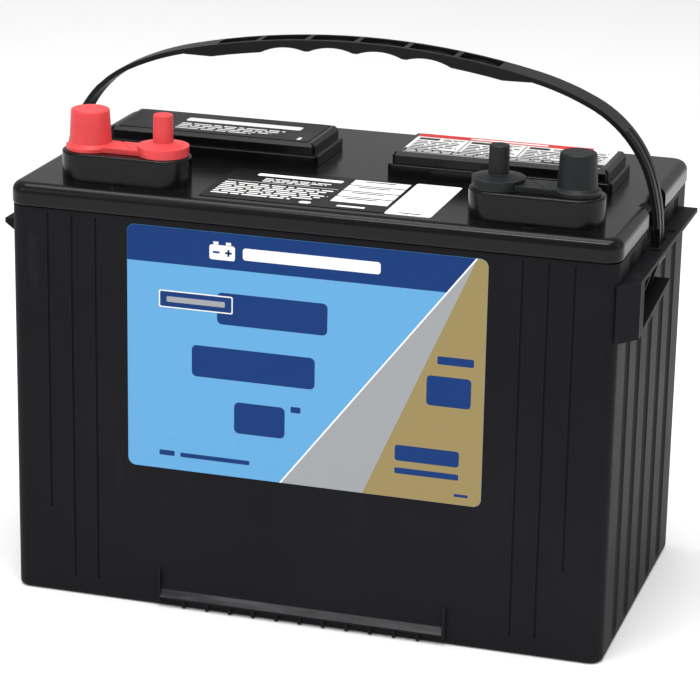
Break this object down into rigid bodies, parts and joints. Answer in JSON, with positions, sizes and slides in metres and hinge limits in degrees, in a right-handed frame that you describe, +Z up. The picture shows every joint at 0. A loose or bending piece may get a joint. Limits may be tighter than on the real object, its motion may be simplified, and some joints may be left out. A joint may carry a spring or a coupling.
{
  "type": "deep-cycle battery",
  "caption": "Rectangular black lead-acid battery with a strap handle, capped post and stud terminals, gang vent covers and end ledges.",
  "frame": {"origin": "middle of the footprint, on the surface the battery stands on", "axes": "+X along the length towards the negative terminal, +Y to the rear, +Z up; the main label faces -Y"},
  "size_m": [0.321, 0.173, 0.279],
  "materials": {
    "case_plastic": "satin polypropylene",
    "lid_plastic": "semi-gloss polypropylene",
    "strap_plastic": "semi-gloss flexible polypropylene",
    "vent_cap_plastic": "semi-gloss polypropylene",
    "red_plastic": "soft gloss red",
    "black_plastic": "soft gloss black",
    "lead": "dull lead casting",
    "stud_steel": "stainless steel",
    "seal_rubber": "matte",
    "porous_plastic": "porous",
    "positive_plate": "lead dioxide paste",
    "negative_plate": "spongy lead paste",
    "separator": "microporous sheet",
    "front_label_film": "printed film",
    "black_label_film": "printed film",
    "white_label_film": "printed film"
  },
  "bodies": {
    "battery": {"cell_1_negative_plates": "negative_plate", "cell_1_positive_plates": "positive_plate", "cell_1_separators": "separator", "cell_2_negative_plates": "negative_plate", "cell_2_positive_plates": "positive_plate", "cell_2_separators": "separator", "cell_3_negative_plates": "negative_plate", "cell_3_positive_plates": "positive_plate", "cell_3_separators": "separator", "cell_4_negative_plates": "negative_plate", "cell_4_positive_plates": "positive_plate", "cell_4_separators": "separator", "cell_5_negative_plates": "negative_plate", "cell_5_positive_plates": "positive_plate", "cell_5_separators": "separator", "cell_6_negative_plates": "negative_plate", "cell_6_positive_plates": "positive_plate", "cell_6_separators": "separator", "cell_connector_1_2": "lead", "cell_connector_2_3": "lead", "cell_connector_3_4": "lead", "cell_connector_4_5": "lead", "cell_connector_5_6": "lead", "container": "case_plastic", "cover": "lid_plastic", "date_label": "white_label_film", "front_label": "front_label_film", "negative_bushing": "lead", "negative_stud": "stud_steel", "negative_terminal": "lead", "positive_bushing": "lead", "positive_stud": "stud_steel", "positive_terminal": "lead", "rating_label": "black_label_film"},
    "handle": {"carry_handle": "strap_plastic"},
    "vent_cover_left": {"vent_cap_left": "vent_cap_plastic", "vent_seals_left": "seal_rubber", "flame_arrestor_left": "porous_plastic", "vent_label_left": "black_label_film"},
    "vent_cover_right": {"vent_cap_right": "vent_cap_plastic", "vent_seals_right": "seal_rubber", "flame_arrestor_right": "porous_plastic", "vent_label_right": "white_label_film"},
    "positive_cover": {"positive_cap": "red_plastic"},
    "negative_cover": {"negative_cap": "black_plastic"}
  },
  "joints": [
    {"name": "handle_swing", "type": "hinge", "parent": "battery", "child": "handle", "pos_m": [0, 0, 0.181], "axis": [1, 0, 0], "range_deg": [-18, 18]},
    {"name": "positive_cap_lift", "type": "slide", "parent": "battery", "child": "positive_cover", "axis": [0, 0, 1], "range_m": [0, 0.03]},
    {"name": "negative_cap_lift", "type": "slide", "parent": "battery", "child": "negative_cover", "axis": [0, 0, 1], "range_m": [0, 0.03]},
    {"name": "vent_cap_left_lift", "type": "slide", "parent": "battery", "child": "vent_cover_left", "axis": [0, 0, 1], "range_m": [0, 0.013]},
    {"name": "vent_cap_right_lift", "type": "slide", "parent": "battery", "child": "vent_cover_right", "axis": [0, 0, 1], "range_m": [0, 0.013]}
  ]
}
